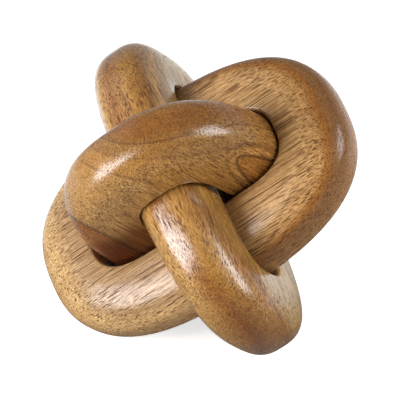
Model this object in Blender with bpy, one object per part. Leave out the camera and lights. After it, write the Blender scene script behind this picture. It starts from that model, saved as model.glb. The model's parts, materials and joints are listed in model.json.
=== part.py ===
"""Wooden knot: three equal oval rings of solid hardwood, each one passing through the slot of the next.

Lengths are in metres and +Z is up. The knot stands on the lower ends of its three rings, and its front
faces -Y. Each ring is built flat about its own centre, with X along the plank, Y across it and Z through
its thickness, and is then turned and moved to its place in the knot.
"""
import math

import bmesh
import bpy
import numpy as np
from mathutils import Matrix, Vector

MM = 0.001

# The outside of every ring
RING_LENGTH = 137.5 * MM
RING_WIDTH = 85.5 * MM
RING_THICKNESS = 28 * MM
OVAL_FULLNESS = 2.55            # the oval's exponent: 2 is an ellipse, more is squarer
ROUNDING_REACH = 24.5 * MM      # how far the rounded outer side comes in over each face
ROUNDING_FULLNESS = 2.9         # the exponent of the rounded side's section
FACE_PLANED = 0.15 * MM         # taken off each face after the outer side was rounded

# The slot, which follows the section of the ring that passes through it
END_PLAY = 1.2 * MM             # from the side of that ring to the end of the slot, with both centred
SIDE_PLAY = 1.4 * MM            # from each face of that ring to the side of the slot
SLOT_ARRIS = 1.4 * MM           # radius of the slot's rubbed-down edges

# How the rings hang in one another at rest
TOUCHING_GAP = 0.3 * MM         # left where a ring has slid down onto the next one
LEFT_RING_SLIP = 0 * MM         # the left ring rests in the middle of its play
FRONT_RING_ASIDE = 0.7 * MM     # how far the front ring leans over to the right on the left ring

# The joints that close the front ring, hidden inside the right ring's slot
GLUE_LINE = 0.3 * MM
DOWEL_DIAMETER = 6 * MM
DOWEL_LENGTH = 30 * MM
DOWEL_FLUTES = 12
FLUTE_DEPTH = 0.3 * MM
DOWEL_CHAMFER = 0.8 * MM
DOWEL_CLEARANCE = 0.3 * MM      # round the dowel
HOLE_END_ROOM = 1 * MM          # past each end of the dowel, where spare glue gathers
DOWEL_FROM_SLOT = 8.5 * MM      # from the slot's side to the inner dowel's centre
DOWEL_SPACING = 11 * MM         # from the inner dowel's centre to the outer one's

# The stance
FOOT_FLAT = 0.35 * MM           # sanded off the three ends that it stands on
FRONT_TURN = math.radians(11)   # about Z, to bring the front ring's near end to the front

# How finely the round shapes are faceted
OUTLINE_POINTS = 64
ROUNDING_STEPS = 12
ARRIS_STEPS = 3

SLOT_HALF_LENGTH = RING_WIDTH / 2 + END_PLAY
SLOT_HALF_WIDTH = RING_THICKNESS / 2 + SIDE_PLAY
SLID_DOWN = TOUCHING_GAP - END_PLAY
RIGHT_RING_SLIP = FRONT_RING_ASIDE + SLID_DOWN

RIGHT_RING_WOOD = (0.47, 0.25, 0.11)
LEFT_RING_WOOD = (0.42, 0.22, 0.09)
FRONT_RING_WOOD = (0.36, 0.17, 0.065)
DOWEL_WOOD = (0.60, 0.42, 0.25)


def power(value, exponent):
    """The power of a value's size, with the value's sign."""
    return np.sign(value) * np.abs(value) ** exponent


def spaced_evenly(outline, height):
    """OUTLINE_POINTS points at one height, evenly spaced along a closed outline of X and Y values."""
    x, y = (np.append(values, values[0]) for values in outline)
    walked = np.append(0, np.cumsum(np.hypot(np.diff(x), np.diff(y))))
    stops = np.linspace(0, walked[-1], OUTLINE_POINTS, endpoint=False)
    return [(a, b, height) for a, b in zip(np.interp(stops, walked, x), np.interp(stops, walked, y))]


def oval(inset, height):
    """Points of the ring's oval outline, drawn in by inset along its normal."""
    turn = np.linspace(0, 2 * math.pi, 40 * OUTLINE_POINTS, endpoint=False)
    half_length, half_width = RING_LENGTH / 2, RING_WIDTH / 2
    x = half_length * power(np.cos(turn), 2 / OVAL_FULLNESS)
    y = half_width * power(np.sin(turn), 2 / OVAL_FULLNESS)
    across_x = power(x / half_length, OVAL_FULLNESS - 1) / half_length
    across_y = power(y / half_width, OVAL_FULLNESS - 1) / half_width
    size = np.hypot(across_x, across_y)
    return spaced_evenly((x - inset * across_x / size, y - inset * across_y / size), height)


def slot(growth, height):
    """Points of the slot's outline, grown by growth all round."""
    turn = np.linspace(0, 2 * math.pi, 40 * OUTLINE_POINTS, endpoint=False)
    reach = ROUNDING_REACH + growth
    straight = SLOT_HALF_LENGTH + growth - reach
    x = np.sign(np.cos(turn)) * straight + reach * power(np.cos(turn), 2 / ROUNDING_FULLNESS)
    y = (SLOT_HALF_WIDTH + growth) * power(np.sin(turn), 2 / ROUNDING_FULLNESS)
    return spaced_evenly((x, y), height)


def ring_loops():
    """The loops of points that the ring's skin runs through, once round its section."""
    face = RING_THICKNESS / 2
    rounded_face = face + FACE_PLANED
    last_turn = math.asin((face / rounded_face) ** (ROUNDING_FULLNESS / 2))
    loops = []
    for turn in np.linspace(-last_turn, last_turn, ROUNDING_STEPS + 1):
        inset = ROUNDING_REACH * (1 - math.cos(turn) ** (2 / ROUNDING_FULLNESS))
        loops.append(oval(inset, rounded_face * power(math.sin(turn), 2 / ROUNDING_FULLNESS)))
    arris_turns = np.linspace(0, math.pi / 2, ARRIS_STEPS + 1)
    arris = [(SLOT_ARRIS * (1 - math.sin(t)), face - SLOT_ARRIS * (1 - math.cos(t))) for t in arris_turns]
    loops += [slot(growth, height) for growth, height in arris]
    loops += [slot(growth, -height) for growth, height in reversed(arris)]
    return loops


def bridge(bm, rim, next_rim):
    """A band of four-sided faces between two closed loops of as many vertices."""
    for step in range(len(rim)):
        bm.faces.new((rim[step - 1], rim[step], next_rim[step], next_rim[step - 1]))


def ring_bmesh():
    """A whole ring, bridged from loop to loop round its section."""
    bm = bmesh.new()
    rims = [[bm.verts.new(point) for point in points] for points in ring_loops()]
    for rim, next_rim in zip(rims, rims[1:] + rims[:1]):
        bridge(bm, rim, next_rim)
    bmesh.ops.recalc_face_normals(bm, faces=bm.faces)
    return bm


def saw_off(bm, side):
    """Keep the half of a ring on one side of its middle, and close the two sawn faces."""
    cut = bmesh.ops.bisect_plane(
        bm, geom=bm.verts[:] + bm.edges[:] + bm.faces[:], plane_co=(side * GLUE_LINE / 2, 0, 0),
        plane_no=(-side, 0, 0), clear_outer=True)
    sawn_edges = [piece for piece in cut["geom_cut"] if isinstance(piece, bmesh.types.BMEdge)]
    bmesh.ops.edgeloop_fill(bm, edges=sawn_edges)
    bmesh.ops.recalc_face_normals(bm, faces=bm.faces)


def wood(name, colour, roughness):
    """A plain material of one wood."""
    material = bpy.data.materials.new(name)
    material.use_nodes = True
    shader = material.node_tree.nodes["Principled BSDF"]
    shader.inputs["Base Color"].default_value = (*colour, 1)
    shader.inputs["Roughness"].default_value = roughness
    shader.inputs["Metallic"].default_value = 0
    material.diffuse_color = (*colour, 1)
    return material


def make_object(name, bm, material, parent):
    """An object of the mesh, shaded smooth between its sharp edges."""
    mesh = bpy.data.meshes.new(name)
    bm.to_mesh(mesh)
    bm.free()
    mesh.shade_smooth()
    mesh.set_sharp_from_angle(angle=math.radians(35))
    piece = bpy.data.objects.new(name, mesh)
    bpy.context.collection.objects.link(piece)
    if material:
        mesh.materials.append(material)
    piece.parent = parent
    return piece


def make_empty(name, parent):
    """An empty that carries other objects."""
    empty = bpy.data.objects.new(name, None)
    bpy.context.collection.objects.link(empty)
    empty.parent = parent
    return empty


def place(piece, third_turns, slip, aside=0):
    """Turn a ring about the knot's middle by thirds of a turn, then slide it along and across itself."""
    turn = Matrix.Rotation(third_turns * 2 * math.pi / 3, 4, Vector((1, 1, 1)))
    piece.matrix_local = turn @ Matrix.Translation((slip, aside, 0))


def make_cutter(name, bm, parent):
    """A shape that is only there to be cut out of others."""
    cutter = make_object(name, bm, None, parent)
    cutter.hide_render = True
    cutter.display_type = "WIRE"
    return cutter


def cut_out(piece, cutter):
    """Cut the cutter's shape out of the piece."""
    cut = piece.modifiers.new("cut " + cutter.name, "BOOLEAN")
    cut.operation = "DIFFERENCE"
    cut.solver = "EXACT"
    cut.object = cutter


def along_ring(sideways):
    """Turns a shape that stands on Z to lie along the ring, at a place across its width."""
    return Matrix.Translation((0, sideways, 0)) @ Matrix.Rotation(math.pi / 2, 4, "Y")


def dowel_bmesh():
    """A fluted dowel with chamfered ends, standing on Z."""
    bm = bmesh.new()
    radius, half = DOWEL_DIAMETER / 2, DOWEL_LENGTH / 2
    rims = []
    for height, trim in ((-half, DOWEL_CHAMFER), (DOWEL_CHAMFER - half, 0), (half - DOWEL_CHAMFER, 0),
                         (half, DOWEL_CHAMFER)):
        points = []
        for step in range(2 * DOWEL_FLUTES):
            turn = math.pi * step / DOWEL_FLUTES
            reach = radius - trim - FLUTE_DEPTH * (step % 2)
            points.append((reach * math.cos(turn), reach * math.sin(turn), height))
        rims.append([bm.verts.new(point) for point in points])
    for rim, next_rim in zip(rims, rims[1:]):
        bridge(bm, rim, next_rim)
    bm.faces.new(rims[0])
    bm.faces.new(rims[-1])
    bmesh.ops.recalc_face_normals(bm, faces=bm.faces)
    return bm


def dowel_hole_bmesh():
    """The hole drilled for a dowel, on Z through both halves of the ring."""
    bm = bmesh.new()
    radius = DOWEL_DIAMETER / 2 + DOWEL_CLEARANCE
    depth = DOWEL_LENGTH + 2 * HOLE_END_ROOM
    bmesh.ops.create_cone(
        bm, cap_ends=True, segments=2 * DOWEL_FLUTES, radius1=radius, radius2=radius, depth=depth)
    return bm


def build_whole_ring(name, material, knot, third_turns, slip):
    """A ring cut from one plank in one piece."""
    ring = make_object(name, ring_bmesh(), material, knot)
    place(ring, third_turns, slip)
    return ring


def build_front_ring(material, dowel_material, knot):
    """The ring that closes the knot: two halves, doweled together round the other two rings."""
    ring = make_empty("front_ring", knot)
    place(ring, 2, SLID_DOWN, FRONT_RING_ASIDE)
    halves = []
    for name, side in (("front_ring_upper_half", 1), ("front_ring_lower_half", -1)):
        bm = ring_bmesh()
        saw_off(bm, side)
        halves.append(make_object(name, bm, material, ring))
    for side_name, side in (("right", 1), ("left", -1)):
        for row_name, row in (("inner", 0), ("outer", 1)):
            name = "dowel_" + side_name + "_" + row_name
            sideways = side * (SLOT_HALF_WIDTH + DOWEL_FROM_SLOT + row * DOWEL_SPACING)
            dowel = make_object(name, dowel_bmesh(), dowel_material, ring)
            dowel.matrix_local = along_ring(sideways)
            hole = make_cutter(name + "_hole", dowel_hole_bmesh(), ring)
            hole.matrix_local = along_ring(sideways)
            for half in halves:
                cut_out(half, hole)
    return halves


def resting_face(points):
    """The normal of the face that a shape through these points stands on when its low side is down."""
    bm = bmesh.new()
    for point in points:
        bm.verts.new(point)
    hull = bmesh.ops.convex_hull(bm, input=bm.verts)["geom"]
    faces = [piece for piece in hull if isinstance(piece, bmesh.types.BMFace)]
    bmesh.ops.recalc_face_normals(bm, faces=faces)
    low_faces = [face for face in faces if face.normal.z < -0.9]
    normal = max(low_faces, key=lambda face: face.calc_area()).normal.copy()
    bm.free()
    return normal


def stand(knot, rings):
    """Set the knot down on its three lower ends, with the middle of its box above the origin."""
    knot.matrix_world = Vector((1, 1, 1)).rotation_difference(Vector((0, 0, 1))).to_matrix().to_4x4()
    bpy.context.view_layer.update()
    points = [ring.matrix_world @ vert.co for ring in rings for vert in ring.data.vertices]
    level = resting_face(points).rotation_difference(Vector((0, 0, -1))).to_matrix().to_4x4()
    turn = Matrix.Rotation(FRONT_TURN, 4, "Z") @ level
    turned = np.array([turn @ point for point in points])
    low, high = turned.min(axis=0), turned.max(axis=0)
    drop = Vector((-(low[0] + high[0]) / 2, -(low[1] + high[1]) / 2, -low[2] - FOOT_FLAT))
    knot.matrix_world = Matrix.Translation(drop) @ turn @ knot.matrix_world
    bpy.context.view_layer.update()


def flatten_feet(rings):
    """Sand the ends that reach below the floor's level flat."""
    bm = bmesh.new()
    floor_size = 4 * RING_LENGTH
    bmesh.ops.create_cube(bm, size=floor_size, matrix=Matrix.Translation((0, 0, -floor_size / 2)))
    floor = make_cutter("floor_level", bm, None)
    for ring in rings:
        cut_out(ring, floor)


def build():
    """The whole knot."""
    for old in list(bpy.data.objects):
        bpy.data.objects.remove(old)
    knot = make_empty("knot", None)
    right_wood = wood("right_ring_wood", RIGHT_RING_WOOD, 0.4)
    left_wood = wood("left_ring_wood", LEFT_RING_WOOD, 0.4)
    front_wood = wood("front_ring_wood", FRONT_RING_WOOD, 0.4)
    dowel_wood = wood("dowel_wood", DOWEL_WOOD, 0.7)
    right = build_whole_ring("right_ring", right_wood, knot, 0, RIGHT_RING_SLIP)
    left = build_whole_ring("left_ring", left_wood, knot, 1, LEFT_RING_SLIP)
    upper_half, lower_half = build_front_ring(front_wood, dowel_wood, knot)
    stand(knot, (right, left, upper_half, lower_half))
    flatten_feet((right, left, lower_half))


build()
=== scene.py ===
import json
import math

import bpy
from mathutils import Matrix, Vector


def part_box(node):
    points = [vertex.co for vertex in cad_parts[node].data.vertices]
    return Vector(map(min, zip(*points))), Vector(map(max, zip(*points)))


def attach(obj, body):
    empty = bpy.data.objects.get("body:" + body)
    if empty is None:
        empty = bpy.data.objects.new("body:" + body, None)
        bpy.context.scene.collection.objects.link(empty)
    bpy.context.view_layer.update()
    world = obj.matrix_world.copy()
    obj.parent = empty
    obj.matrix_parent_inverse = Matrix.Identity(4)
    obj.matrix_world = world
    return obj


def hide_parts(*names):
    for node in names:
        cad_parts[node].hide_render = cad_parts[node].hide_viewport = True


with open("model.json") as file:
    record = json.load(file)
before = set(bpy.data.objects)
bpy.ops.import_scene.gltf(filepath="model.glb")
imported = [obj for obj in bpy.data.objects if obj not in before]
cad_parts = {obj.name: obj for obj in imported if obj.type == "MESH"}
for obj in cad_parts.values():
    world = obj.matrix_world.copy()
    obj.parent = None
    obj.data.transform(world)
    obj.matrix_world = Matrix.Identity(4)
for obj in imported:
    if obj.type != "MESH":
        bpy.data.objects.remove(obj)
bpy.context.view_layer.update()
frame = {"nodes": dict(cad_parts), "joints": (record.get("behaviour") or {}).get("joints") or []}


# The left ring
# A whole ring of solid acacia, sawn from one plank with the grain along it, its outer side rounded over by
# hand and lacquered satin. It holds the right ring in its slot and stands on its lower right end.

MM = 0.001
RING_LENGTH, RING_WIDTH, RING_THICKNESS = 137.3 * MM, 85.3 * MM, 28 * MM
OVAL_FULLNESS = 2.55  # exponent of the superellipse that the outline follows
ROUNDING_REACH = 24.5 * MM  # how far the outer side's rounding reaches in over each face
ROUNDING_FULLNESS = 2.9
FACE_PLANED = 0.15 * MM  # planed off each face, which leaves it flat
SLOT_LENGTH, SLOT_WIDTH = 87.9 * MM, 30.8 * MM
SLOT_ARRIS = 1.4 * MM
OVAL_STEPS, ROUNDING_STEPS, SLOT_STEPS, ARRIS_STEPS = 48, 24, 32, 5
SOFT_EDGE = math.radians(35)
WELD, LEVEL, ON_FACE = 1e-6, 1e-7, 1e-6  # how near points have to be to be one, level, or on a face

slides = {joint["name"]: Vector(joint["axis"]).normalized() for joint in frame["joints"]}
right_way = slides["right_ring_slide"]
front_way = slides["front_ring_slide"]
left_way = front_way.cross(right_way)


def select_only(piece):
    """Deselect everything, then make the piece the one that operators act on."""
    bpy.ops.object.select_all(action="DESELECT")
    piece.select_set(True)
    bpy.context.view_layer.objects.active = piece


def stretch(piece, factors):
    """Scale a selected piece and apply the scale."""
    piece.scale = factors
    bpy.ops.object.transform_apply(location=False, rotation=False, scale=True)


def bevel_profile(fullness):
    """The bevel tool's profile that gives a superellipse with this exponent."""
    return 2 ** (-2 / fullness)


def rounded_plate(name, half_length, half_width, corner, fullness, steps):
    """A flat plate whose four corners are rounded to a superellipse."""
    bpy.ops.object.select_all(action="DESELECT")
    bpy.ops.mesh.primitive_plane_add(size=2)
    plate = bpy.context.object
    plate.name = name
    stretch(plate, (half_length, half_width, 1))
    bpy.ops.object.mode_set(mode="EDIT")
    bpy.ops.mesh.select_all(action="SELECT")
    bpy.ops.mesh.bevel(affect="VERTICES", offset=corner, segments=steps, profile=bevel_profile(fullness))
    bpy.ops.mesh.select_all(action="SELECT")
    bpy.ops.mesh.remove_doubles(threshold=WELD)
    bpy.ops.object.mode_set(mode="OBJECT")
    return plate


def thicken(plate, half_height):
    """Pull a flat plate out into a slab, as far above its plane as below."""
    bpy.ops.object.mode_set(mode="EDIT")
    bpy.ops.mesh.select_all(action="SELECT")
    bpy.ops.transform.translate(value=(0, 0, -half_height))
    bpy.ops.mesh.extrude_region_move(TRANSFORM_OT_translate={"value": (0, 0, 2 * half_height)})
    bpy.ops.mesh.select_all(action="SELECT")
    bpy.ops.mesh.normals_make_consistent(inside=False)
    bpy.ops.object.mode_set(mode="OBJECT")


def select_edges(piece, wanted):
    """Select the edges whose two ends pass the test, and stay in edit mode."""
    bpy.ops.object.mode_set(mode="EDIT")
    bpy.ops.mesh.select_mode(type="EDGE")
    bpy.ops.mesh.select_all(action="DESELECT")
    bpy.ops.object.mode_set(mode="OBJECT")
    for edge in piece.data.edges:
        edge.select = wanted(*(piece.data.vertices[end].co for end in edge.vertices))
    bpy.ops.object.mode_set(mode="EDIT")


def saw(piece, point, outward):
    """Cut away what lies past a plane and close the cut."""
    bpy.ops.object.mode_set(mode="EDIT")
    bpy.ops.mesh.select_all(action="SELECT")
    bpy.ops.mesh.bisect(plane_co=point, plane_no=outward, clear_outer=True, use_fill=True, threshold=LEVEL)
    bpy.ops.object.mode_set(mode="OBJECT")


def cut(piece, cutter):
    """Cut one piece with another, which is used up."""
    select_only(piece)
    boolean = piece.modifiers.new("cut", "BOOLEAN")
    boolean.operation = "DIFFERENCE"
    boolean.solver = "EXACT"
    boolean.object = cutter
    bpy.ops.object.modifier_apply(modifier=boolean.name)
    bpy.data.objects.remove(cutter)


def shape_ring(name):
    """A ring lying flat at the origin, with X along its plank and Z through its thickness."""
    ring = rounded_plate(name, 1, 1, 1, OVAL_FULLNESS, OVAL_STEPS)
    stretch(ring, (RING_LENGTH / 2, RING_WIDTH / 2, 1))
    half_slab = 1.0005 * ROUNDING_REACH  # the two roundings all but meet halfway down the outer side
    thicken(ring, half_slab)
    select_edges(ring, lambda start, end: abs(start.z - end.z) < LEVEL)
    bpy.ops.mesh.bevel(offset=ROUNDING_REACH, segments=ROUNDING_STEPS, profile=bevel_profile(ROUNDING_FULLNESS))
    bpy.ops.object.mode_set(mode="OBJECT")
    face = RING_THICKNESS / 2
    stretch(ring, (1, 1, (face + FACE_PLANED) / half_slab))
    for side in (1, -1):
        saw(ring, (0, 0, side * face), (0, 0, side))

    # the slot's ends follow the section of the ring that passes through
    slot = rounded_plate("slot", SLOT_LENGTH / 2, ROUNDING_REACH, ROUNDING_REACH, ROUNDING_FULLNESS, SLOT_STEPS)
    stretch(slot, (1, SLOT_WIDTH / 2 / ROUNDING_REACH, 1))
    thicken(slot, RING_THICKNESS)
    cut(ring, slot)

    def on_slot_rim(point):
        in_slot = abs(point.x) < 0.51 * SLOT_LENGTH and abs(point.y) < 0.51 * SLOT_WIDTH
        return in_slot and abs(abs(point.z) - face) < ON_FACE

    select_edges(ring, lambda start, end: on_slot_rim(start) and on_slot_rim(end))
    bpy.ops.mesh.bevel(offset=SLOT_ARRIS, segments=ARRIS_STEPS, profile=0.5)
    bpy.ops.object.mode_set(mode="OBJECT")
    return ring


def put_in_place(ring, along, through, nodes):
    """Turn a ring to its place in the knot and set it against the box of its CAD nodes."""
    turn = Matrix((along, through.cross(along), through)).transposed()
    select_only(ring)
    ring.matrix_world = turn.to_4x4()
    bpy.ops.object.transform_apply(location=False, rotation=True, scale=False)
    low = Vector(min(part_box(node)[0][axis] for node in nodes) for axis in range(3))
    high = Vector(max(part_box(node)[1][axis] for node in nodes) for axis in range(3))
    highest = max(vertex.co.z for vertex in ring.data.vertices)
    centre = Vector(((low.x + high.x) / 2, (low.y + high.y) / 2, high.z - highest))
    ring.location = centre
    bpy.ops.object.transform_apply(location=True, rotation=False, scale=False)
    return centre, turn


def sand_foot(ring):
    """Sand flat what reaches below the surface that the knot stands on."""
    select_only(ring)
    if min(vertex.co.z for vertex in ring.data.vertices) < 0:
        saw(ring, (0, 0, 0), (0, 0, -1))
    bpy.ops.object.shade_smooth_by_angle(angle=SOFT_EDGE)


class Shade:
    """One output of a shader node. Arithmetic on it adds Math nodes."""

    def __init__(self, socket):
        self.socket = socket
        self.tree = socket.id_data

    @classmethod
    def of(cls, tree, kind, settings=None, values=None, output=0, stops=()):
        """Add a node of this kind, set it up, and give back one of its outputs."""
        node = tree.nodes.new("ShaderNode" + kind)
        for name, value in (settings or {}).items():
            setattr(node, name, value)
        if stops:
            ramp = node.color_ramp.elements
            for position, colour in stops[1:-1]:
                ramp.new(position).color = colour
            ramp[0].color, ramp[len(ramp) - 1].color = stops[0][1], stops[-1][1]
        for name, value in (values or {}).items():
            if isinstance(value, Shade):
                tree.links.new(value.socket, node.inputs[name])
            else:
                node.inputs[name].default_value = value
        return cls(node.outputs[output])

    def beside(self, output):
        """Another output of the same node."""
        return Shade(self.socket.node.outputs[output])

    def maths(self, operation, first, second=0.0):
        """Add a Math node."""
        return Shade.of(self.tree, "Math", {"operation": operation}, {0: first, 1: second})

    def __add__(self, other):
        return self.maths("ADD", self, other)

    __radd__ = __add__

    def __sub__(self, other):
        return self.maths("SUBTRACT", self, other)

    def __rsub__(self, other):
        return self.maths("SUBTRACT", other, self)

    def __mul__(self, other):
        return self.maths("MULTIPLY", self, other)

    __rmul__ = __mul__

    def __pow__(self, other):
        return self.maths("POWER", self, other)

    def __abs__(self):
        return self.maths("ABSOLUTE", self)


def step_up(value, low, high):
    """Go smoothly from 0 where the value is low to 1 where it is high."""
    return Shade.of(value.tree, "MapRange", {"interpolation_type": "SMOOTHSTEP"},
                    {"Value": value, "From Min": low, "From Max": high})


def noise(place, lengths, detail, roughness=0.5, output=0):
    """Noise on a place in millimetres, with a grain of so many millimetres along each axis."""
    scaled = Shade.of(place.tree, "VectorMath", {"operation": "DIVIDE"}, {0: place, 1: lengths})
    return Shade.of(place.tree, "TexNoise", values={
        "Vector": scaled, "Scale": 1.0, "Detail": detail, "Roughness": roughness}, output=output)


def blend(share, first, second):
    """Mix two colours."""
    return Shade.of(share.tree, "Mix", {"data_type": "RGBA"}, {0: share, 6: first, 7: second}, 2)


def tinted(colour, tint):
    """Multiply a colour by another."""
    return Shade.of(colour.tree, "VectorMath", {"operation": "MULTIPLY"}, {0: colour, 1: tint})


# grain sizes along, across and through the plank, in millimetres
DRIFT, RIPPLE = (55.0, 24.0, 24.0), (12.0, 3.0, 3.0)
LONG_FIBRE, SHORT_FIBRE, BAND = (16.0, 0.50, 0.50), (1.9, 0.62, 0.62), (60.0, 3.0, 3.0)
PORE_WEAVE, PORE_OPENING, TEAR = (30.0, 9.0, 9.0), (9.0, 2.0, 2.0), (1.2, 0.6, 0.6)

LINE_COLOUR, PORE_COLOUR = (0.17, 0.062, 0.015, 1), (0.10, 0.032, 0.008, 1)
SAWN_COLOUR, TORN_COLOUR = (0.50, 0.29, 0.135, 1), (0.05, 0.018, 0.005, 1)
# the second tint darkens the front ring as painted shade where it goes down between the others
END_GRAIN_TINT, PAINTED_SHADE_TINT = (0.72, 0.60, 0.42), (0.30, 0.14, 0.03)
SLOT_ENDS, SLOT_SIDES, SLOT_RIMS = (44.3, 44.6), (15.7, 16.1), (12.6, 13.2)  # from sawn to lacquered wood, in mm
TONE_IN_GREEN, TONE_IN_BLUE = 1.2, 1.5  # darker wood is also redder
FULL_COAT, COAT_ROUGHNESS, SPECULAR = 0.95, 0.22, 0.25
BUMP_STRENGTH, BUMP_DEPTH = 0.6, 0.4 * MM


def wood(name, centre, turn, seed, pith, lean, layers, wander, fibres, lines, pores, gloss, darker_ends,
         paler=None, flame=None):
    """Open-pored hardwood under satin lacquer, on the plank's own axes in millimetres. The layers are
    colours at their distances from the pith, a line that runs along the plank and leans. Wander is how
    unevenly they follow it, and fibres how much the long and the short ones show. Paler is sapwood from one
    place along the plank to another, with a darker colour on the flat face near the end that is partly
    painted shade. Flame is an arch with its tip along the plank and its middle across; with it comes
    painted shade where the ring goes down between the others."""
    material = bpy.data.materials.new(name)
    material.use_nodes = True
    tree = material.node_tree
    shader = tree.nodes["Principled BSDF"]
    held = Shade.of(tree, "TexCoord", output=3)
    place = Shade.of(tree, "Mapping", {"vector_type": "TEXTURE"},
                     {"Vector": held, "Location": centre, "Rotation": turn.to_euler(), "Scale": (MM, MM, MM)})
    grain = Shade.of(tree, "VectorMath", {"operation": "ADD"}, {0: place, 1: (137 * seed, 71 * seed, 53 * seed)})
    along = Shade.of(tree, "SeparateXYZ", values={0: place})
    across, through = along.beside(1), along.beside(2)

    # growth layers
    drift = noise(grain, DRIFT, 1.0)
    ripple = noise(grain, RIPPLE, 1.0)
    from_pith = ((across - pith[0] - lean[0] * along) ** 2.0 + (through - pith[1] - lean[1] * along) ** 2.0) ** 0.5
    depth = from_pith + (drift - 0.5) * wander + (ripple - 0.5) * (0.5 * wander)
    first, last = layers[0][0], layers[-1][0]
    stops = [((distance - first) / (last - first), (*colour, 1)) for distance, colour in layers]
    colour = Shade.of(tree, "ValToRGB", values={0: (depth - first) * (1 / (last - first))}, stops=stops)
    seasons = Shade.of(tree, "TexNoise", {"noise_dimensions": "1D"},
                       {"W": depth * 0.8 + 31 * seed, "Detail": 3.0, "Roughness": 0.7})
    painted_shade = 0.0
    if flame:
        # layers that dip out of the lower face and show as a pointed arch, open towards the ring's end
        aside = across - flame["middle"]
        bow = flame["tip"] / 2 / flame["half_width"] ** 2
        inward = (flame["tip"] - along - bow * aside ** 2.0 + (ripple - 0.5) * 2.0) * (
            1.0 + 4 * bow ** 2 * aside ** 2.0) ** -0.5
        here = step_up(through, -6.0, -8.0)
        colour = blend(here * step_up(inward, -0.2, 0.4) * 0.85, colour, flame["inside"])
        colour = blend(here * step_up(abs(inward), 0.9, 0.3) * 0.9, colour, flame["line"])
        colour = blend(here * step_up(abs(inward + 2.6), 0.6, 0.1) * 0.45, colour, flame["line"])

        # painted shade where the ring goes down between the others, with the lacquer duller there
        painted_shade = step_up(along, 46.0, 27.0) * step_up(across, -11.0, -18.0) * step_up(through, -5.0, -12.0)
        colour = blend(painted_shade * 0.85, colour, tinted(colour, PAINTED_SHADE_TINT))
    if paler:
        towards_end = step_up(along + (drift - 0.5) * 30.0, paler["from"], paler["to"])
        # near the end the flat face takes the darker colour and the rounded sides the paler one: partly sapwood,
        # partly painted shade on the face
        face_in_painted_shade = step_up(depth, last - 3.5, last - 1.2) * step_up(along, -62.0, -50.0)
        colour = blend(towards_end * 0.85, colour, blend(face_in_painted_shade, paler["sides"], paler["face"]))
    facing = Shade.of(tree, "VectorMath", {"operation": "DOT_PRODUCT"}, {0: held.beside(1), 1: turn.col[0]}, 1)
    end_grain = step_up(abs(facing), 0.35, 0.95)
    colour = blend(end_grain * darker_ends, colour, tinted(colour, END_GRAIN_TINT))

    # fibres along the grain, and thin dark lines where they open
    fine = noise(grain, LONG_FIBRE, 3.0, 0.65)
    broad = noise(grain, BAND, 2.0, 0.55)
    fleck = noise(grain, SHORT_FIBRE, 1.0, 0.6)
    tone = (1.0 + (fine - 0.5) * fibres["long"] + (broad - 0.5) * 0.6 + (fleck - 0.5) * fibres["short"]
            + (seasons - 0.5) * 0.6)
    split = step_up(noise(grain, (lines["length"], lines["width"], lines["width"]), 0.0), *lines["marks"])
    if paler:
        split = split * (1.0 - towards_end * 0.3)

    # pores, which weave along the grain and are cut at a slant
    weave = noise(grain, PORE_WEAVE, 1.0, output=1)
    woven = Shade.of(tree, "VectorMath", {"operation": "MULTIPLY_ADD"}, {0: weave, 1: (0.0, 1.0, 1.0), 2: grain})
    woven = Shade.of(tree, "SeparateXYZ", values={0: woven})
    section = Shade.of(tree, "CombineXYZ", values={0: woven.beside(1), 1: woven.beside(2)})
    tubes = Shade.of(tree, "TexVoronoi", {"voronoi_dimensions": "2D"},
                     {"Vector": section, "Scale": 1 / pores["spacing"]})
    kind = Shade.of(tree, "SeparateColor", values={0: tubes.beside(1)})
    opened = noise(grain, PORE_OPENING, 1.0)
    reach = (0.35 + 0.65 * kind) * (opened * 1.7 - 0.1) * (pores["width"] / 2 / pores["spacing"])
    pore = 1.0 - step_up(tubes - reach, -0.05, 0.06)

    # slot walls, sawn and only sealed
    in_slot = (1.0 - step_up(abs(along), *SLOT_ENDS)) * (1.0 - step_up(abs(across), *SLOT_SIDES)) * (
        1.0 - step_up(abs(through), *SLOT_RIMS))
    torn = noise(grain, TEAR, 3.0, 0.7)

    tint = Shade.of(tree, "CombineXYZ", values={0: tone, 1: tone ** TONE_IN_GREEN, 2: tone ** TONE_IN_BLUE})
    base = tinted(colour, tint)
    base = blend(split * lines["show"], base, LINE_COLOUR)
    base = blend(pore * pores["show"], base, PORE_COLOUR)
    base = blend(in_slot, base, SAWN_COLOUR)
    base = blend(in_slot * step_up(torn, 0.52, 0.40), base, TORN_COLOUR)
    tree.links.new(base.socket, shader.inputs["Base Color"])
    dull = 0.26 + pore * 0.3 + (fleck - 0.5) * 0.4 + (fine - 0.5) * 0.2 + in_slot * 0.4 + painted_shade * 0.4
    tree.links.new(dull.socket, shader.inputs["Roughness"])
    coat = FULL_COAT - pore * 0.8 - split * 0.4 + (fleck - 0.5) * 0.6
    tree.links.new((coat * (1.0 - in_slot) * (1.0 - painted_shade) * gloss).socket, shader.inputs["Coat Weight"])
    shader.inputs["Specular IOR Level"].default_value = SPECULAR * gloss
    shader.inputs["Coat Roughness"].default_value = COAT_ROUGHNESS
    height = ((fine - 0.5) * 0.3 + (fleck - 0.5) * (0.6 * fibres["short"]) - pore * 0.8 - split * 0.25
              + torn * in_slot)
    bump = Shade.of(tree, "Bump", values={"Strength": BUMP_STRENGTH, "Distance": BUMP_DEPTH, "Height": height})
    tree.links.new(bump.socket, shader.inputs["Normal"])
    return material


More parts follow.
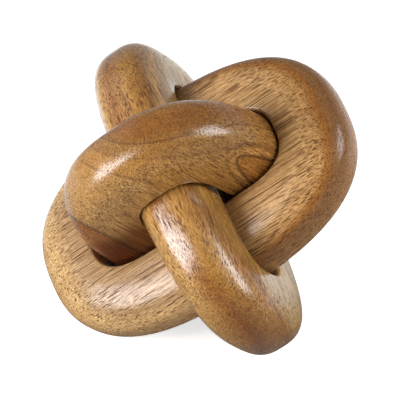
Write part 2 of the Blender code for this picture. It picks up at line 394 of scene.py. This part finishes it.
left_ring = shape_ring("left_ring_wood")
left_centre, left_turn = put_in_place(left_ring, left_way, right_way, ["left_ring"])
sand_foot(left_ring)
left_ring.data.materials.append(wood(
    "left_ring_wood", left_centre, left_turn, seed=1, pith=(22.0, -58.0), lean=(0.0, -0.017),
    layers=[(40, (0.52, 0.290, 0.090)), (53, (0.52, 0.285, 0.082)), (55.5, (0.47, 0.220, 0.045)),
            (59.0, (0.34, 0.125, 0.018)), (62, (0.42, 0.190, 0.037)), (66, (0.50, 0.250, 0.062)),
            (70.0, (0.44, 0.200, 0.046)), (70.8, (0.30, 0.130, 0.030)), (71.3, (0.42, 0.215, 0.055)),
            (72.0, (0.54, 0.275, 0.064)), (72.4, (0.38, 0.205, 0.058)), (73.0, (0.45, 0.270, 0.078)),
            (76, (0.52, 0.310, 0.080))],
    wander=0.7, fibres={"long": 1.2, "short": 1.0},
    lines={"length": 20.0, "width": 0.42, "marks": (0.61, 0.66), "show": 0.60},
    pores={"spacing": 0.95, "width": 0.55, "show": 0.90}, gloss=1.15, darker_ends=0.9))
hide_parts("left_ring")
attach(left_ring, "left_ring")


# The right ring
# A second whole ring of the same wood and make, with paler sapwood towards its left end. It goes through the
# left ring's slot, has slid down onto the front ring, and stands on its lower left end.

right_ring = shape_ring("right_ring_wood")
right_centre, right_turn = put_in_place(right_ring, right_way, front_way, ["right_ring"])
sand_foot(right_ring)
right_ring.data.materials.append(wood(
    "right_ring_wood", right_centre, right_turn, seed=2, pith=(5.0, -300.0), lean=(0.0, 0.0),
    layers=[(280, (0.48, 0.225, 0.064)), (300, (0.42, 0.205, 0.068)), (308, (0.30, 0.142, 0.050)),
            (310.4, (0.30, 0.140, 0.046)), (311.3, (0.34, 0.130, 0.026)), (312.0, (0.38, 0.155, 0.033)),
            (313.2, (0.56, 0.300, 0.106)), (315, (0.64, 0.372, 0.152))],
    wander=1.0, fibres={"long": 1.0, "short": 0.5},
    lines={"length": 24.0, "width": 0.30, "marks": (0.60, 0.65), "show": 0.75},
    pores={"spacing": 0.85, "width": 0.52, "show": 0.85}, gloss=0.6, darker_ends=0.5,
    # the face colour is darker than the sides' partly as painted shade
    paler={"from": 18.0, "to": -30.0, "sides": (0.70, 0.455, 0.205, 1), "face": (0.42, 0.255, 0.122, 1)}))
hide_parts("right_ring")
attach(right_ring, "right_ring")


# The front ring
# The ring that closes the knot, of the same wood but darker. It is sawn across its middle into two halves,
# which are put round the left ring and inside the right ring's slot, and glued and doweled together.

HALVES = {"front_ring_upper_half": 1, "front_ring_lower_half": -1}
GLUE_LINE = 0.3 * MM
HOLE_RADIUS, HOLE_LENGTH = 3.3 * MM, 32 * MM
HOLE_PLACES = (-34.9 * MM, -23.9 * MM, 23.9 * MM, 34.9 * MM)


def drill(half, sideways):
    """Drill a dowel hole in a half, along the ring's length and so far sideways from its middle."""
    bpy.ops.object.select_all(action="DESELECT")
    bpy.ops.mesh.primitive_cylinder_add(vertices=24, radius=HOLE_RADIUS, depth=HOLE_LENGTH)
    bit = bpy.context.object
    in_ring = Matrix.Translation((0, sideways, 0)) @ Matrix.Rotation(math.pi / 2, 4, "Y")
    bit.matrix_world = Matrix.Translation(front_centre) @ front_turn.to_4x4() @ in_ring
    cut(half, bit)


front_blank = shape_ring("front_ring_blank")
front_centre, front_turn = put_in_place(front_blank, front_way, left_way, list(HALVES))
front_wood = wood(
    "front_ring_wood", front_centre, front_turn, seed=3, pith=(24.0, 25.0), lean=(0.0, 0.0),
    layers=[(8, (0.38, 0.190, 0.055)), (19, (0.39, 0.180, 0.045)), (22, (0.36, 0.140, 0.024)),
            (28, (0.34, 0.132, 0.024)), (31.1, (0.35, 0.160, 0.034)), (31.7, (0.20, 0.080, 0.016)),
            (32.2, (0.41, 0.200, 0.048)), (36.6, (0.41, 0.195, 0.045)), (37.1, (0.32, 0.140, 0.032)),
            (37.6, (0.51, 0.245, 0.055)), (43.0, (0.50, 0.245, 0.060)), (43.5, (0.32, 0.140, 0.032)),
            (44.1, (0.51, 0.270, 0.078)), (60, (0.49, 0.265, 0.085)), (63.3, (0.43, 0.225, 0.070)),
            # past the dark line at 64 mm the layers lie on the ring's lower side: darker wood there, and partly
            # painted shade
            (64.0, (0.14, 0.056, 0.013)), (64.8, (0.30, 0.105, 0.018)), (69, (0.30, 0.085, 0.006)),
            (80, (0.26, 0.070, 0.004))],
    wander=0.8, fibres={"long": 1.2, "short": 1.0},
    lines={"length": 14.0, "width": 0.36, "marks": (0.61, 0.66), "show": 0.75},
    pores={"spacing": 0.90, "width": 0.50, "show": 0.80}, gloss=1.0, darker_ends=0.2,
    flame={"tip": 33.2, "middle": 31.3, "half_width": 5.3, "inside": (0.42, 0.160, 0.024, 1),
           "line": (0.09, 0.030, 0.007, 1)})
for node, side in HALVES.items():
    half = front_blank.copy()
    half.data = front_blank.data.copy()
    half.name = node + "_wood"
    bpy.context.scene.collection.objects.link(half)
    select_only(half)
    saw(half, front_centre + side * GLUE_LINE / 2 * front_way, -side * front_way)
    for sideways in HOLE_PLACES:
        drill(half, sideways)
    sand_foot(half)
    half.data.materials.append(front_wood)
    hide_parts(node)
    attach(half, "front_ring")
bpy.data.objects.remove(front_blank)


# The dowels
# Four fluted dowels of bare beech, two on each side of the slot. They are glued into holes drilled in both
# halves of the front ring and can't be seen from outside.

BEECH_FIBRE, BEECH_RAY = (9.0, 0.5, 0.5), (2.5, 0.35, 0.35)  # in millimetres along and across
DARK_BEECH, LIGHT_BEECH, RAY_COLOUR = (0.53, 0.36, 0.20, 1), (0.67, 0.48, 0.30, 1), (0.40, 0.22, 0.10, 1)

beech = bpy.data.materials.new("dowel_wood")
beech.use_nodes = True
tree = beech.node_tree
shader = tree.nodes["Principled BSDF"]
place = Shade.of(tree, "Mapping", {"vector_type": "TEXTURE"}, {
    "Vector": Shade.of(tree, "TexCoord", output=3), "Location": front_centre, "Rotation": front_turn.to_euler(),
    "Scale": (MM, MM, MM)})
fibre = noise(place, BEECH_FIBRE, 2.0)
rays = step_up(noise(place, BEECH_RAY, 0.0), 0.60, 0.68)
base = blend(fibre, DARK_BEECH, LIGHT_BEECH)
tree.links.new(blend(rays * 0.5, base, RAY_COLOUR).socket, shader.inputs["Base Color"])
tree.links.new((0.60 + fibre * 0.2).socket, shader.inputs["Roughness"])
bump = Shade.of(tree, "Bump", values={"Strength": 0.3, "Distance": 0.2 * MM, "Height": fibre})
tree.links.new(bump.socket, shader.inputs["Normal"])
for node in ("dowel_right_inner", "dowel_right_outer", "dowel_left_inner", "dowel_left_outer"):
    frame["nodes"][node].material_slots[0].material = beech


# The table
# A plain sheet of pale paper, far wider than the view, under the light of a photographer's tent: a glow from
# its back and its top, and four softboxes. The paper also shines by itself, to be as white as in the photo,
# a little less near the knot as a painted shadow round its feet, and behind the knot it has a painted glow
# that the lacquer mirrors as a sheen on the rims.

WHITE = (1, 1, 1, 1)
PAPER_PALE, PAPER_DIMMED = 0.74, 0.45  # dimmed where the lacquer mirrors it from in front of the knot
PAPER_SHINE, SHINE_PAST_PAINTED_SHADOW, PAINTED_GLOW_MIRRORED = 0.70, 0.16, 0.7
TENT_DARK, TENT_BACK, TENT_TOP = 0.02, 0.40, 0.16
LAMPS_AIM = Vector((0, 0, 0.055))

bpy.ops.object.select_all(action="DESELECT")
bpy.ops.mesh.primitive_plane_add(size=6)
table = bpy.context.object
table.name = "table"
paper = bpy.data.materials.new("table_paper")
paper.use_nodes = True
tree = paper.node_tree
surface = tree.nodes["Principled BSDF"]
surface.inputs["Roughness"].default_value = 0.9
surface.inputs["Emission Color"].default_value = WHITE
spot = Shade.of(tree, "TexCoord", output=3)
behind = Shade.of(tree, "SeparateXYZ", values={0: spot}).beside(1)
away = Shade.of(tree, "VectorMath", {"operation": "LENGTH"}, {0: spot}, 1)
looked_at = Shade.of(tree, "LightPath")
mirrored = looked_at.beside(3)
paleness = PAPER_PALE - mirrored * PAPER_DIMMED * step_up(behind, 0.08, -0.02)
tree.links.new(paleness.socket, surface.inputs["Base Color"])
# less shine near the knot is a painted shadow round its feet; behind it, a painted glow for the lacquer to mirror
shine = (looked_at * (PAPER_SHINE + SHINE_PAST_PAINTED_SHADOW * step_up(away, 0.005, 0.040))
         + mirrored * PAINTED_GLOW_MIRRORED * step_up(behind, 0.07, 0.20))
tree.links.new(shine.socket, surface.inputs["Emission Strength"])
table.data.materials.append(paper)

world = bpy.data.worlds.new("tent")
bpy.context.scene.world = world
world.use_nodes = True
tree = world.node_tree
background = tree.nodes["Background"]
looked_at = Shade.of(tree, "LightPath")
way = Shade.of(tree, "SeparateXYZ", values={0: Shade.of(tree, "TexCoord")})
behind, above = way.beside(1), way.beside(2)
glow = (TENT_DARK + TENT_BACK * step_up(behind, 0.05, 0.50) * step_up(above, 0.70, 0.40)
        + TENT_TOP * step_up(above, 0.40, 0.90))
tree.links.new((glow + looked_at * (1.0 - glow)).socket, background.inputs["Strength"])
background.inputs["Color"].default_value = WHITE


def softbox(name, turned, raised, distance, width, height, power):
    """A rectangular lamp turned to the knot, so many degrees round from the front and up."""
    lamp = bpy.data.lights.new(name, "AREA")
    lamp.shape = "RECTANGLE"
    lamp.size, lamp.size_y = width, height
    lamp.energy = power
    box = bpy.data.objects.new(name, lamp)
    bpy.context.scene.collection.objects.link(box)
    turned, raised = math.radians(turned), math.radians(raised)
    way = Vector((math.sin(turned) * math.cos(raised), -math.cos(turned) * math.cos(raised), math.sin(raised)))
    box.location = LAMPS_AIM + distance * way
    box.rotation_euler = way.to_track_quat("Z", "Y").to_euler()


softbox("key_softbox", -54, 15, 0.9, 0.48, 0.40, 8.4)
softbox("side_softbox", 80, 27, 0.9, 0.46, 0.46, 5.2)
softbox("right_softbox", 45, 35, 1.1, 0.80, 0.80, 1.0)
softbox("back_softbox", -105, 35, 1.1, 0.80, 0.80, 1.3)


# The camera
# A long lens from in front and above. Its place, aim, roll and length were fitted to the photo's outlines.

CAMERA_PLACE = Vector((0.0125, -1.1927, 0.5622))
CAMERA_AIM = Vector((0.0009, -0.0004, 0.0519))
CAMERA_ROLL = math.radians(1.27)
CAMERA_LENS, CAMERA_SENSOR = 299.19, 36

camera_data = bpy.data.cameras.new("camera")
camera_data.lens = CAMERA_LENS
camera_data.sensor_width = CAMERA_SENSOR
camera = bpy.data.objects.new("camera", camera_data)
bpy.context.scene.collection.objects.link(camera)
look = (CAMERA_AIM - CAMERA_PLACE).to_track_quat("-Z", "Y").to_matrix().to_4x4()
camera.matrix_world = Matrix.Translation(CAMERA_PLACE) @ look @ Matrix.Rotation(-CAMERA_ROLL, 4, "Z")
bpy.context.scene.camera = camera
bpy.context.scene.view_settings.view_transform = "Standard"
